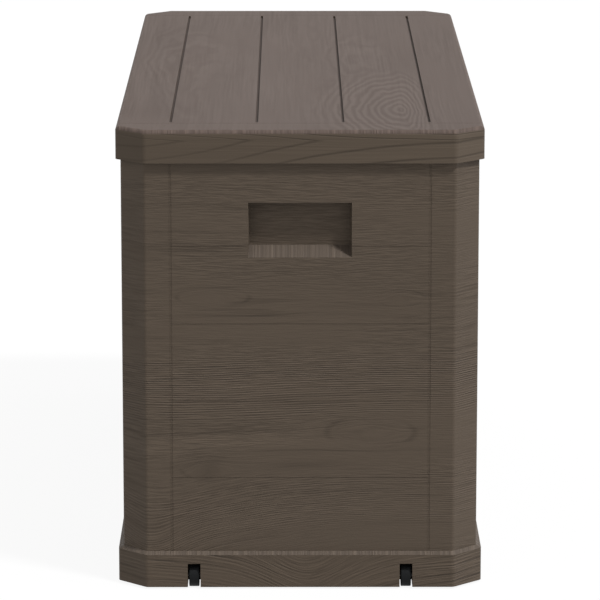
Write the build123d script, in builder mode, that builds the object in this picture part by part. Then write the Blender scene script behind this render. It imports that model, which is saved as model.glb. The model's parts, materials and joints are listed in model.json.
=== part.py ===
from build123d import *
import math
import os

# Deck storage box on two small wheels. Millimetres, origin at the middle of the footprint on the ground,
# +X towards the wheel end, -Y towards the front that opens, +Z up.

# Overall size
LENGTH = 1140.0
WIDTH = 470.0
HEIGHT = 600.0

# Clearances
FIT = 0.15  # between mouldings that stay together
BODY_GAP = 0.3  # between bodies that move apart
RUNNING = 0.05  # radial, pins and axles in their bores

# Walls, seen in plan
TRIM_STEP = 6.5  # base rim stands this far out of the walls
BODY_CUT = 31.0  # corner cut of the walls, along both sides
BODY_ROUND = 6.0
STILE = 32.3  # flat strip beside each corner cut
SKIN = 3.0
RIB = 2.4
RIB_DEPTH = 12.0
RIB_PITCH = 125.0
SEAM_WIDTH = 3.5  # upright groove between stile and boards
SEAM_DEPTH = 0.5
BOARD_START = 147.0  # lowest board joint above the ground
BOARD_PITCH = 101.0
BOARD_GROOVE = 0.5
BOARD_GROOVE_DEPTH = 1.0
TONGUE_IN = 7.0
TONGUE_THICK = 3.0
TONGUE_LENGTH = 8.0
POST_WALL = 3.0
POST_CAP = 5.0

# Base
GROUND_GAP = 3.0
TRIM_CUT_X = 35.0
TRIM_CUT_Y = 37.0
TRIM_ROUND = 8.0
RIM_WALL = 3.2
RIM_UPSTAND = 8.6  # straight rim above the storage floor
RIM_BEVEL = 3.8  # height of the rim's sloping top
FLOOR_THICK = 3.2
FLOOR_RIB_DROP = 24.0
FLOOR_RIB_PITCH_X = 142.0
FLOOR_RIB_PITCH_Y = 66.0
CURB_HEIGHT = 8.0
CURB_THICK = 3.0

# Wheels and feet
WHEEL_RADIUS = 16.0
WHEEL_WIDTH = 13.2
WHEEL_ROUND = 1.2
WHEEL_INSET = 98.3  # wheel middles, from the long sides of the trim
WHEEL_SETBACK = 1.5
WHEEL_GAP = 2.0  # above the wheel, to the storage floor
WHEEL_SIDE_GAP = 1.6
WHEEL_BACK_GAP = 2.5
HUB_RADIUS = 6.0
HUB_DISH_DEPTH = 2.5
TYRE_THICK = 3.5
AXLE_RADIUS = 3.0
WELL_WALL = 3.0
RING_THICK = 1.2
RING_WIDTH = 3.0
FOOT_RADIUS = 18.0
FOOT_PAD = 7.0
FOOT_STEM_RADIUS = 6.0
FOOT_STEM = 14.0
FOOT_BOSS_WALL = 4.0
FOOT_INSET_X = 55.0
FOOT_INSET_Y = 65.0

# Handle pockets
HANDLE_WIDTH = 131.6
HANDLE_HEIGHT = 70.7
HANDLE_DROP = 93.9  # from the top of the lid to the top of the pocket
HANDLE_DEPTH = 21.0
HANDLE_DRAFT = 3.0
HANDLE_LEDGE = 13.5  # how far the pocket's floor rises inwards
HANDLE_WALL = 3.0

# Lid
LID_INSET = 0.2
LID_SKIRT = 42.4
LID_WALL = 3.2
LID_TOP = 5.0
LID_CORNER_ROUND = 9.0
LID_EDGE_ROUND = 6.0
LID_GROOVE = 3.3
LID_GROOVE_DEPTH = 3.0
LID_GROOVE_END = 65.0
LID_BOARDS = 3  # whole boards between the outer grooves
END_STRIP = 57.0
END_LINE = 1.4
END_LINE_DEPTH = 0.7
LID_RIB_DROP = 8.0
LID_RIB_PITCH = 190.0
LID_RIB_SETBACK = 52.0  # from the lid's edge, so that it clears the rear wall as it turns

# Lid bars and their saddles
BAR_WIDTH = 20.0
BAR_HEIGHT = 12.0
BAR_WALL = 1.5
BAR_LENGTH = 1040.0
BAR_SPACING = 220.0
SADDLE_THICK = 1.5
SADDLE_LENGTH = 16.0
SADDLE_EAR = 12.0
SADDLE_PITCH = 285.0

# Hinges
HINGE_SETBACK = 163.5  # outer hinge middles, from the ends of the walls
HINGE_WIDTH = 80.0
KNUCKLE_RADIUS = 3.0
LID_KNUCKLE = 29.4
PIN_RADIUS = 1.5
PIN_HEAD_RADIUS = 2.6
PIN_HEAD = 1.0
LEAF_THICK = 1.5
BODY_LEAF_DROP = 34.0
LID_LEAF_RISE = 36.0
HINGE_SCREW_SPACING = 50.0
BODY_SCREW_DROP = 22.0
LID_SCREW_RISE = 21.0

# Padlock tab and plate
LOCK_HOLE_RADIUS = 4.25
LOCK_HOLE_DROP = 12.6  # below the lid's skirt
LOCK_TAB_WIDTH = 32.0
LOCK_TAB_DROP = 23.6
LOCK_TAB_THICK = 3.3
LOCK_PLATE_WIDTH = 72.0
LOCK_PLATE_HEIGHT = 24.0
LOCK_PLATE_THICK = 2.5
LOCK_SCREW_SPACING = 56.0
LOCK_POCKET_WIDTH = 44.0
LOCK_POCKET_HEIGHT = 50.0
LOCK_POCKET_DEPTH = 19.0
LOCK_POCKET_WALL = 3.0

# Screws
SCREW_RADIUS = 1.6
SCREW_HEAD_RADIUS = 3.2
SCREW_HEAD = 1.8
SCREW_LENGTH = 12.0
SADDLE_SCREW_LENGTH = 5.0
POST_SCREW_RADIUS = 2.2
POST_SCREW_HEAD_RADIUS = 4.5
POST_SCREW_HEAD = 3.0
POST_SCREW_LENGTH = 36.0
POST_BOSS_WALL = 3.8

# Worked out from the sizes above
BODY_LENGTH = LENGTH - 2 * TRIM_STEP
BODY_WIDTH = WIDTH - 2 * TRIM_STEP
PANEL_DEPTH = SKIN + RIB_DEPTH
SEAM_X = BODY_LENGTH / 2 - BODY_CUT - STILE
SEAM_Y = BODY_WIDTH / 2 - BODY_CUT - STILE
POST_BACK = BODY_CUT + STILE + PANEL_DEPTH  # the post's inner wall, along both sides from the corner
POST_THICK = (POST_BACK - BODY_CUT) / math.sqrt(2)
WHEEL_SPACING = WIDTH - 2 * WHEEL_INSET
WHEEL_Z = WHEEL_RADIUS
WHEEL_X = LENGTH / 2 - WHEEL_SETBACK - WHEEL_RADIUS
FLOOR_BOTTOM = 2 * WHEEL_RADIUS + WHEEL_GAP
FLOOR_TOP = FLOOR_BOTTOM + FLOOR_THICK
RIM_EDGE = FLOOR_TOP + RIM_UPSTAND
RIM_TOP = RIM_EDGE + RIM_BEVEL
LID_BOTTOM = HEIGHT - LID_SKIRT
LID_UNDERSIDE = HEIGHT - LID_TOP
WALL_TOP = LID_UNDERSIDE - BODY_GAP
WALL_HEIGHT = WALL_TOP - FLOOR_TOP
LID_LENGTH = LENGTH - 2 * LID_INSET
LID_WIDTH = WIDTH - 2 * LID_INSET
SKIRT_INNER_Y = LID_WIDTH / 2 - LID_WALL
HINGE_Y = BODY_WIDTH / 2 + BODY_GAP + KNUCKLE_RADIUS
HINGE_Z = LID_BOTTOM - 2 * BODY_GAP - KNUCKLE_RADIUS
HINGE_XS = (HINGE_SETBACK - BODY_LENGTH / 2, 0.0, BODY_LENGTH / 2 - HINGE_SETBACK)
BODY_KNUCKLE = (HINGE_WIDTH - LID_KNUCKLE) / 2 - BODY_GAP
LOCK_HOLE_Z = LID_BOTTOM - LOCK_HOLE_DROP
HANDLE_TOP = HEIGHT - HANDLE_DROP
HANDLE_Z = HANDLE_TOP - HANDLE_HEIGHT / 2
FOOT_PLACES = [(FOOT_INSET_X - LENGTH / 2, side * (WIDTH / 2 - FOOT_INSET_Y)) for side in (-1, 1)]
WHEEL_YS = (-WHEEL_SPACING / 2, WHEEL_SPACING / 2)
SLOT_WIDTH = WHEEL_WIDTH + 2 * WHEEL_SIDE_GAP
WELL_WIDTH = SLOT_WIDTH + 2 * WELL_WALL
WELL_LENGTH = WHEEL_SETBACK + 2 * WHEEL_RADIUS + WHEEL_BACK_GAP

# Each wall face: its local x runs along the wall, its local y is up, and it looks outwards.
FRONT = Plane(origin=(0, -BODY_WIDTH / 2, 0), x_dir=(1, 0, 0), z_dir=(0, -1, 0))
BACK = Plane(origin=(0, BODY_WIDTH / 2, 0), x_dir=(-1, 0, 0), z_dir=(0, 1, 0))
WHEEL_END = Plane(origin=(BODY_LENGTH / 2, 0, 0), x_dir=(0, 1, 0), z_dir=(1, 0, 0))
FAR_END = Plane(origin=(-BODY_LENGTH / 2, 0, 0), x_dir=(0, -1, 0), z_dir=(-1, 0, 0))


def cut_corner_outline(length, width, cut_x, cut_y):
    """Rectangle with its four corners cut, anticlockwise."""
    half_x = length / 2
    half_y = width / 2
    corner = [(half_x, half_y - cut_y), (half_x - cut_x, half_y)]
    upper = corner + [(-x, y) for x, y in reversed(corner)]
    return upper + [(-x, -y) for x, y in upper]


def row(pitch, span):
    """Places of the members that fit in a span at a pitch, centred on zero."""
    count = max(1, int(span // pitch))
    return [(number - (count - 1) / 2) * pitch for number in range(count)]


def section_plane(face):
    """Plane across a wall face: local x looks outwards, local y is up."""
    return Plane(origin=face.origin, x_dir=face.z_dir, z_dir=-face.x_dir)


def plan_plane(face, height):
    """Plan view of a wall: local x runs along it, local y is the depth inwards."""
    foot = (face.origin.X, face.origin.Y, height)
    return Plane(origin=foot, x_dir=face.x_dir, z_dir=(0, 0, 1))


# ---- Base ----

def wall_ring_outline():
    """Inner edge of the walls and posts in plan."""
    length = BODY_LENGTH - 2 * PANEL_DEPTH
    width = BODY_WIDTH - 2 * PANEL_DEPTH
    return cut_corner_outline(length, width, length / 2 - SEAM_X, width / 2 - SEAM_Y)


def post_screw_place(side_x, side_y):
    """Middle of a corner post's section, halfway between its corner cut and its inner wall."""
    inset = (BODY_CUT + POST_BACK) / 4
    return (side_x * (BODY_LENGTH / 2 - inset), side_y * (BODY_WIDTH / 2 - inset))


CORNERS = [(side_x, side_y) for side_x in (-1, 1) for side_y in (-1, 1)]
POST_SCREW_PLACES = [post_screw_place(*corner) for corner in CORNERS]

with BuildPart() as base_tray:
    trim_outline = cut_corner_outline(LENGTH, WIDTH, TRIM_CUT_X, TRIM_CUT_Y)
    body_outline = cut_corner_outline(BODY_LENGTH, BODY_WIDTH, BODY_CUT, BODY_CUT)
    with BuildSketch(Plane.XY.offset(GROUND_GAP)) as rim_section:
        Polygon(*trim_outline, align=None)
        fillet(rim_section.vertices(), TRIM_ROUND)
    extrude(amount=RIM_EDGE - GROUND_GAP)
    # sloping top of the rim, up to the wall faces
    with BuildSketch(Plane.XY.offset(RIM_EDGE)) as bevel_foot:
        Polygon(*trim_outline, align=None)
        fillet(bevel_foot.vertices(), TRIM_ROUND)
    with BuildSketch(Plane.XY.offset(RIM_TOP)) as bevel_head:
        Polygon(*body_outline, align=None)
        offset(amount=2 * FIT, kind=Kind.INTERSECTION)
        fillet(bevel_head.vertices(), BODY_ROUND)
    loft(ruled=True)
    # seat for the walls and posts
    with BuildSketch(Plane.XY.offset(FLOOR_TOP)) as wall_seat:
        Polygon(*body_outline, align=None)
        offset(amount=FIT, kind=Kind.INTERSECTION)
        fillet(wall_seat.vertices(), BODY_ROUND)
    extrude(amount=RIM_TOP - FLOOR_TOP, mode=Mode.SUBTRACT)
    # hollow underneath
    with BuildSketch(Plane.XY.offset(GROUND_GAP)):
        Polygon(*trim_outline, align=None)
        offset(amount=-RIM_WALL, kind=Kind.INTERSECTION)
    extrude(amount=FLOOR_BOTTOM - GROUND_GAP, mode=Mode.SUBTRACT)
    # curb inside the walls
    with BuildSketch(Plane.XY.offset(FLOOR_TOP)):
        Polygon(*wall_ring_outline(), align=None)
        offset(amount=-FIT, kind=Kind.INTERSECTION)
        offset(amount=-CURB_THICK, kind=Kind.INTERSECTION, mode=Mode.SUBTRACT)
    extrude(amount=CURB_HEIGHT)
    # ribs under the floor
    with BuildSketch(Plane.XY.offset(FLOOR_BOTTOM)):
        for x in row(FLOOR_RIB_PITCH_X, LENGTH):
            with Locations((x, 0)):
                Rectangle(RIB, WIDTH - 2 * RIM_WALL)
        for y in row(FLOOR_RIB_PITCH_Y, WIDTH - 2 * TRIM_CUT_Y):
            with Locations((0, y)):
                Rectangle(LENGTH - 2 * RIM_WALL, RIB)
        with Locations([(WHEEL_X, y) for y in WHEEL_YS]):
            Rectangle(2 * WELL_LENGTH, WELL_WIDTH + 2 * (RING_THICK + WELL_WALL), mode=Mode.SUBTRACT)
    extrude(amount=-FLOOR_RIB_DROP)
    # wheel wells, open below and through the end of the rim
    well_middle = LENGTH / 2 - RIM_WALL - (WELL_LENGTH + WELL_WALL - RIM_WALL) / 2
    with BuildSketch(Plane.XY.offset(FLOOR_BOTTOM)):
        with Locations([(well_middle, y) for y in WHEEL_YS]):
            Rectangle(WELL_LENGTH + WELL_WALL - RIM_WALL, WELL_WIDTH)
    extrude(amount=GROUND_GAP - FLOOR_BOTTOM)
    with BuildSketch(Plane.XY.offset(FLOOR_BOTTOM)):
        with Locations([(LENGTH / 2 - WELL_LENGTH / 2 + RIM_WALL / 2, y) for y in WHEEL_YS]):
            Rectangle(WELL_LENGTH + RIM_WALL, SLOT_WIDTH)
    extrude(amount=-FLOOR_BOTTOM, mode=Mode.SUBTRACT)
    with BuildSketch(Plane.XZ):
        with Locations((WHEEL_X, WHEEL_Z)):
            Circle(AXLE_RADIUS + RUNNING)
    extrude(amount=WHEEL_SPACING / 2 + SLOT_WIDTH, both=True, mode=Mode.SUBTRACT)
    # bosses for the feet
    with BuildSketch(Plane.XY.offset(FLOOR_BOTTOM)):
        with Locations(FOOT_PLACES):
            Circle(FOOT_STEM_RADIUS + FOOT_BOSS_WALL)
    extrude(amount=FOOT_PAD - FLOOR_BOTTOM)
    with BuildSketch(Plane.XY.offset(FOOT_PAD)):
        with Locations(FOOT_PLACES):
            Circle(FOOT_STEM_RADIUS + RUNNING)
    extrude(amount=FOOT_STEM + FIT, mode=Mode.SUBTRACT)
    # holes for the post screws, open below between the ribs
    with BuildSketch(Plane.XY.offset(FLOOR_BOTTOM)):
        with Locations(POST_SCREW_PLACES):
            Circle(POST_SCREW_HEAD_RADIUS + FIT)
    extrude(amount=GROUND_GAP - FLOOR_BOTTOM, mode=Mode.SUBTRACT)
    with BuildSketch(Plane.XY.offset(FLOOR_BOTTOM)):
        with Locations(POST_SCREW_PLACES):
            Circle(POST_SCREW_RADIUS + RUNNING)
    extrude(amount=FLOOR_THICK, mode=Mode.SUBTRACT)

with BuildPart() as far_end_feet:
    with BuildSketch():
        with Locations(FOOT_PLACES):
            Circle(FOOT_RADIUS)
    extrude(amount=FOOT_PAD)
    chamfer(far_end_feet.edges().group_by(Axis.Z)[0], GROUND_GAP / 3)
    with BuildSketch(Plane.XY.offset(FOOT_PAD)):
        with Locations(FOOT_PLACES):
            Circle(FOOT_STEM_RADIUS)
    extrude(amount=FOOT_STEM)


# ---- Walls ----

def board_joints():
    """Heights of the joints between the boards."""
    count = int((WALL_TOP - BOARD_START - BOARD_PITCH / 2) // BOARD_PITCH) + 1
    return [BOARD_START + number * BOARD_PITCH for number in range(count)]


def wall_panel(face, seam):
    """Ribbed wall between two posts, with a tongue at each side."""
    half = seam - FIT
    groove = SEAM_WIDTH / 2
    middle = (FLOOR_TOP + WALL_TOP) / 2
    with BuildPart() as panel:
        with BuildSketch(plan_plane(face, FLOOR_TOP)):
            with BuildLine():
                Polyline(
                    (-half, SEAM_DEPTH), (groove - half, SEAM_DEPTH), (groove - half, 0),
                    (half - groove, 0), (half - groove, SEAM_DEPTH), (half, SEAM_DEPTH),
                    (half, SKIN), (-half, SKIN), close=True,
                )
            make_face()
            with Locations((0, TONGUE_IN + TONGUE_THICK / 2)):
                Rectangle(2 * (half + TONGUE_LENGTH), TONGUE_THICK)
                Rectangle(2 * (half - RIB), TONGUE_THICK, mode=Mode.SUBTRACT)
        extrude(amount=WALL_HEIGHT)
        with BuildSketch(face.offset(-SKIN)):
            with Locations((0, middle)):
                Rectangle(2 * half, WALL_HEIGHT)
                Rectangle(2 * (half - RIB), WALL_HEIGHT - 2 * RIB, mode=Mode.SUBTRACT)
            with Locations([(0, height) for height in board_joints()]):
                Rectangle(2 * half - RIB, RIB)
            with Locations([(place, middle) for place in row(RIB_PITCH, 2 * half)]):
                Rectangle(RIB, WALL_HEIGHT - RIB)
        extrude(amount=-RIB_DEPTH)
        with BuildSketch(section_plane(face)):
            with Locations([(0, height) for height in board_joints()]):
                Rectangle(2 * BOARD_GROOVE_DEPTH, BOARD_GROOVE)
        extrude(amount=half, both=True, mode=Mode.SUBTRACT)
    return panel.part


def end_panel(face):
    """Short wall with a moulded handle pocket."""
    with BuildPart() as panel:
        add(wall_panel(face, SEAM_Y))
        with BuildSketch(face.offset(-SKIN / 2)):
            with Locations((0, HANDLE_Z)):
                Rectangle(HANDLE_WIDTH + 2 * HANDLE_WALL, HANDLE_HEIGHT + 2 * HANDLE_WALL)
        extrude(amount=-(HANDLE_DEPTH + HANDLE_WALL - SKIN / 2))
        with BuildSketch(face):
            with Locations((0, HANDLE_Z)):
                Rectangle(HANDLE_WIDTH, HANDLE_HEIGHT)
        extrude(amount=-HANDLE_DEPTH, taper=HANDLE_DRAFT, mode=Mode.SUBTRACT)
        # floor of the pocket, rising inwards
        pocket_foot = HANDLE_TOP - HANDLE_HEIGHT
        with BuildSketch(section_plane(face)):
            with BuildLine():
                Polyline(
                    (0, pocket_foot), (-HANDLE_DEPTH - HANDLE_WALL / 2, pocket_foot - HANDLE_WALL / 2),
                    (-HANDLE_DEPTH - HANDLE_WALL / 2, pocket_foot + HANDLE_LEDGE), close=True,
                )
            make_face()
        extrude(amount=HANDLE_WIDTH / 2, both=True)
    return panel.part


with BuildPart() as front_panel:
    add(wall_panel(FRONT, SEAM_X))
    lock_pocket_z = LID_BOTTOM - LOCK_POCKET_HEIGHT / 2
    with BuildSketch(FRONT.offset(-SKIN / 2)):
        with Locations((0, lock_pocket_z)):
            Rectangle(
                LOCK_POCKET_WIDTH + 2 * LOCK_POCKET_WALL, LOCK_POCKET_HEIGHT + 2 * LOCK_POCKET_WALL
            )
    extrude(amount=-(LOCK_POCKET_DEPTH + LOCK_POCKET_WALL - SKIN / 2))
    with BuildSketch(FRONT):
        with Locations((0, lock_pocket_z)):
            Rectangle(LOCK_POCKET_WIDTH, LOCK_POCKET_HEIGHT)
    extrude(amount=-LOCK_POCKET_DEPTH, mode=Mode.SUBTRACT)
    with BuildSketch(FRONT):
        with Locations([(side * LOCK_SCREW_SPACING / 2, LOCK_HOLE_Z) for side in (-1, 1)]):
            Circle(SCREW_RADIUS + RUNNING)
    extrude(amount=-(SCREW_LENGTH - LOCK_PLATE_THICK + FIT), mode=Mode.SUBTRACT)

body_hinge_screw_places = [
    (x + side * HINGE_SCREW_SPACING / 2, HINGE_Z - BODY_SCREW_DROP) for x in HINGE_XS for side in (-1, 1)
]

with BuildPart() as back_panel:
    add(wall_panel(BACK, SEAM_X))
    # bosses behind the skin for the hinge screws
    with BuildSketch(BACK.offset(-SKIN)):
        with Locations(body_hinge_screw_places):
            Circle(2 * SCREW_HEAD_RADIUS)
    extrude(amount=-RIB_DEPTH)
    with BuildSketch(BACK):
        with Locations(body_hinge_screw_places):
            Circle(SCREW_RADIUS + RUNNING)
    extrude(amount=-(SCREW_LENGTH - LEAF_THICK + FIT), mode=Mode.SUBTRACT)

with BuildPart() as wheel_end_panel:
    add(end_panel(WHEEL_END))

with BuildPart() as far_end_panel:
    add(end_panel(FAR_END))


def corner_post(side_x, side_y):
    """Hollow post with a stile on each face, a corner cut and slots for the panel tongues."""
    face_x = BODY_LENGTH / 2
    face_y = BODY_WIDTH / 2
    groove = SEAM_WIDTH / 2
    outline = [
        (face_x - SEAM_DEPTH, SEAM_Y), (face_x - SEAM_DEPTH, SEAM_Y + groove), (face_x, SEAM_Y + groove),
        (face_x, face_y - BODY_CUT), (face_x - BODY_CUT, face_y),
        (SEAM_X + groove, face_y), (SEAM_X + groove, face_y - SEAM_DEPTH), (SEAM_X, face_y - SEAM_DEPTH),
        (SEAM_X, face_y - PANEL_DEPTH), (face_x - PANEL_DEPTH, SEAM_Y),
    ]
    slot_depth = TONGUE_LENGTH + FIT
    slot_width = TONGUE_THICK + 2 * FIT
    slot_middle = TONGUE_IN + TONGUE_THICK / 2
    end_slot = (face_x - slot_middle, SEAM_Y + slot_depth / 2)
    side_slot = (SEAM_X + slot_depth / 2, face_y - slot_middle)
    screw_x, screw_y = post_screw_place(1, 1)
    with BuildPart() as post:
        with BuildSketch(Plane.XY.offset(FLOOR_TOP)) as section:
            Polygon(*outline, align=None)
            fillet(section.vertices().sort_by_distance((face_x, face_y, FLOOR_TOP))[:2], BODY_ROUND)
        extrude(amount=WALL_HEIGHT)
        with BuildSketch(Plane.XY.offset(FLOOR_TOP)):
            Polygon(*outline, align=None)
            offset(amount=-POST_WALL, kind=Kind.INTERSECTION)
            with Locations(end_slot):
                Rectangle(slot_width + 2 * POST_WALL, slot_depth + 2 * POST_WALL, mode=Mode.SUBTRACT)
            with Locations(side_slot):
                Rectangle(slot_depth + 2 * POST_WALL, slot_width + 2 * POST_WALL, mode=Mode.SUBTRACT)
        extrude(amount=WALL_HEIGHT - POST_CAP, mode=Mode.SUBTRACT)
        with BuildSketch(Plane.XY.offset(FLOOR_TOP)):
            with Locations(end_slot):
                Rectangle(slot_width, slot_depth)
            with Locations(side_slot):
                Rectangle(slot_depth, slot_width)
        extrude(amount=WALL_HEIGHT, mode=Mode.SUBTRACT)
        # screw boss on a web between the corner cut and the inner wall
        with BuildSketch(Plane.XY.offset(FLOOR_TOP)):
            with Locations((screw_x, screw_y)):
                Circle(POST_SCREW_RADIUS + POST_BOSS_WALL)
                Rectangle(POST_THICK - POST_WALL, RIB, rotation=45)
        extrude(amount=POST_SCREW_LENGTH + RIB)
        with BuildSketch(Plane.XY.offset(FLOOR_TOP)):
            with Locations((screw_x, screw_y)):
                Circle(POST_SCREW_RADIUS + RUNNING)
        extrude(amount=POST_SCREW_LENGTH, mode=Mode.SUBTRACT)
        if side_x < 0:
            mirror(about=Plane.YZ, mode=Mode.REPLACE)
        if side_y < 0:
            mirror(about=Plane.XZ, mode=Mode.REPLACE)
    return post


front_wheel_end_post = corner_post(1, -1)
back_wheel_end_post = corner_post(1, 1)
front_far_end_post = corner_post(-1, -1)
back_far_end_post = corner_post(-1, 1)

with BuildPart() as base_screws:
    with BuildSketch(Plane.XY.offset(FLOOR_BOTTOM)):
        with Locations(POST_SCREW_PLACES):
            Circle(POST_SCREW_HEAD_RADIUS)
    extrude(amount=-POST_SCREW_HEAD)
    with BuildSketch(Plane.XY.offset(FLOOR_BOTTOM)):
        with Locations(POST_SCREW_PLACES):
            Circle(POST_SCREW_RADIUS)
    extrude(amount=POST_SCREW_LENGTH)


# ---- Wheels ----

def wheel(y):
    """Solid plastic wheel with a dished face on both sides, turning on its axle."""
    hub_plane = Plane(origin=(WHEEL_X, y, WHEEL_Z), x_dir=(1, 0, 0), z_dir=(0, -1, 0))
    with BuildPart() as disc:
        with BuildSketch(hub_plane):
            Circle(WHEEL_RADIUS)
        extrude(amount=WHEEL_WIDTH / 2, both=True)
        fillet(disc.edges(), WHEEL_ROUND)
        for side in (-1, 1):
            with BuildSketch(hub_plane.offset(side * WHEEL_WIDTH / 2)):
                Circle(WHEEL_RADIUS - TYRE_THICK)
                Circle(HUB_RADIUS, mode=Mode.SUBTRACT)
            extrude(amount=-side * HUB_DISH_DEPTH, mode=Mode.SUBTRACT)
        with BuildSketch(hub_plane):
            Circle(AXLE_RADIUS + RUNNING)
        extrude(amount=WHEEL_WIDTH, both=True, mode=Mode.SUBTRACT)
    return disc


def wheel_axle(y):
    """Steel axle through both walls of a wheel well and the rings outside them."""
    length = WELL_WIDTH + 4 * RING_THICK
    with BuildPart() as axle:
        with BuildSketch(Plane(origin=(WHEEL_X, y, WHEEL_Z), x_dir=(1, 0, 0), z_dir=(0, -1, 0))):
            Circle(AXLE_RADIUS)
        extrude(amount=length / 2, both=True)
        chamfer(axle.edges(), RING_THICK / 3)
    return axle


front_wheel = wheel(WHEEL_YS[0])
back_wheel = wheel(WHEEL_YS[1])
front_wheel_axle = wheel_axle(WHEEL_YS[0])
back_wheel_axle = wheel_axle(WHEEL_YS[1])

with BuildPart() as axle_rings:
    for y in WHEEL_YS:
        for side in (-1, 1):
            well_face = (WHEEL_X, y + side * WELL_WIDTH / 2, WHEEL_Z)
            with BuildSketch(Plane(origin=well_face, x_dir=(1, 0, 0), z_dir=(0, side, 0))):
                Circle(AXLE_RADIUS + RING_WIDTH)
                Circle(AXLE_RADIUS + RUNNING, mode=Mode.SUBTRACT)
            extrude(amount=RING_THICK)


# ---- Lid ----

with BuildPart() as lid_shell:
    lid_outline = cut_corner_outline(LID_LENGTH, LID_WIDTH, TRIM_CUT_X, TRIM_CUT_Y)
    with BuildSketch(Plane.XY.offset(LID_BOTTOM)) as skirt_section:
        Polygon(*lid_outline, align=None)
        fillet(skirt_section.vertices(), LID_CORNER_ROUND)
    extrude(amount=LID_SKIRT)
    fillet(lid_shell.edges().group_by(Axis.Z)[-1], LID_EDGE_ROUND)
    with BuildSketch(Plane.XY.offset(LID_BOTTOM)) as skirt_inside:
        Polygon(*lid_outline, align=None)
        offset(amount=-LID_WALL, kind=Kind.INTERSECTION)
        fillet(skirt_inside.vertices(), LID_CORNER_ROUND - LID_WALL)
    extrude(amount=LID_UNDERSIDE - LID_BOTTOM, mode=Mode.SUBTRACT)
    # stiffening ribs, notched for the bars
    rib_span = LID_WIDTH - 2 * LID_RIB_SETBACK
    with BuildSketch(Plane.XY.offset(LID_UNDERSIDE)):
        for x in row(LID_RIB_PITCH, LID_LENGTH - 2 * LID_RIB_SETBACK):
            with Locations((x, 0)):
                Rectangle(RIB, rib_span)
        with Locations((0, 0)):
            Rectangle(LID_LENGTH - 2 * LID_RIB_SETBACK, RIB)
        with Locations([(0, side * BAR_SPACING / 2) for side in (-1, 1)]):
            Rectangle(LID_LENGTH, BAR_WIDTH + 2 * SADDLE_EAR, mode=Mode.SUBTRACT)
    extrude(amount=-LID_RIB_DROP)
    # grooves between the boards of the top
    board = 2 * SEAM_Y / LID_BOARDS
    with BuildSketch(Plane.XY.offset(HEIGHT)):
        with Locations([(0, number * board - SEAM_Y) for number in range(LID_BOARDS + 1)]):
            Rectangle(LENGTH - 2 * LID_GROOVE_END, LID_GROOVE)
    extrude(amount=-LID_GROOVE_DEPTH, mode=Mode.SUBTRACT)
    with BuildSketch(Plane.XZ):
        for side in (-1, 1):
            line_x = side * (LENGTH / 2 - END_STRIP)
            with BuildLine():
                Polyline(
                    (line_x - END_LINE / 2, HEIGHT), (line_x, HEIGHT - END_LINE_DEPTH),
                    (line_x + END_LINE / 2, HEIGHT), close=True,
                )
            make_face()
    extrude(amount=WIDTH / 2, both=True, mode=Mode.SUBTRACT)
    # padlock tab under the front skirt
    with BuildSketch(Plane(origin=(0, -LID_WIDTH / 2, 0), x_dir=(1, 0, 0), z_dir=(0, -1, 0))):
        with Locations((0, LID_BOTTOM - LOCK_TAB_DROP / 2 + LID_WALL / 2)):
            Rectangle(LOCK_TAB_WIDTH, LOCK_TAB_DROP + LID_WALL)
        with Locations((0, LOCK_HOLE_Z)):
            Circle(LOCK_HOLE_RADIUS, mode=Mode.SUBTRACT)
    extrude(amount=-LOCK_TAB_THICK)
    # countersunk holes for the hinge screws in the rear skirt
    lid_screw_places = [
        (-x - side * HINGE_SCREW_SPACING / 2, HINGE_Z + LID_SCREW_RISE) for x in HINGE_XS for side in (-1, 1)
    ]
    rear_skirt = Plane(origin=(0, LID_WIDTH / 2, 0), x_dir=(-1, 0, 0), z_dir=(0, 1, 0))
    with Locations([rear_skirt * Location((x, z, 0)) for x, z in lid_screw_places]):
        CounterSinkHole(SCREW_RADIUS + RUNNING, SCREW_HEAD_RADIUS + RUNNING, depth=LID_WALL)
    # blind holes for the saddle screws
    saddle_screw_places = [
        (x, side * BAR_SPACING / 2 + ear * (BAR_WIDTH / 2 + SADDLE_EAR / 2))
        for x in (-1.5 * SADDLE_PITCH, -SADDLE_PITCH / 2, SADDLE_PITCH / 2, 1.5 * SADDLE_PITCH)
        for side in (-1, 1)
        for ear in (-1, 1)
    ]
    with BuildSketch(Plane.XY.offset(LID_UNDERSIDE)):
        with Locations(saddle_screw_places):
            Circle(SCREW_RADIUS + RUNNING)
    extrude(amount=SADDLE_SCREW_LENGTH - SADDLE_THICK + FIT, mode=Mode.SUBTRACT)


def lid_bar(side):
    """Steel tube that stiffens the lid."""
    with BuildPart() as bar:
        with BuildSketch(Plane.YZ):
            with Locations((side * BAR_SPACING / 2, LID_UNDERSIDE - BAR_HEIGHT / 2)):
                RectangleRounded(BAR_WIDTH, BAR_HEIGHT, BAR_WALL)
                Rectangle(BAR_WIDTH - 2 * BAR_WALL, BAR_HEIGHT - 2 * BAR_WALL, mode=Mode.SUBTRACT)
        extrude(amount=BAR_LENGTH / 2, both=True)
    return bar


lid_bar_front = lid_bar(-1)
lid_bar_back = lid_bar(1)

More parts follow.
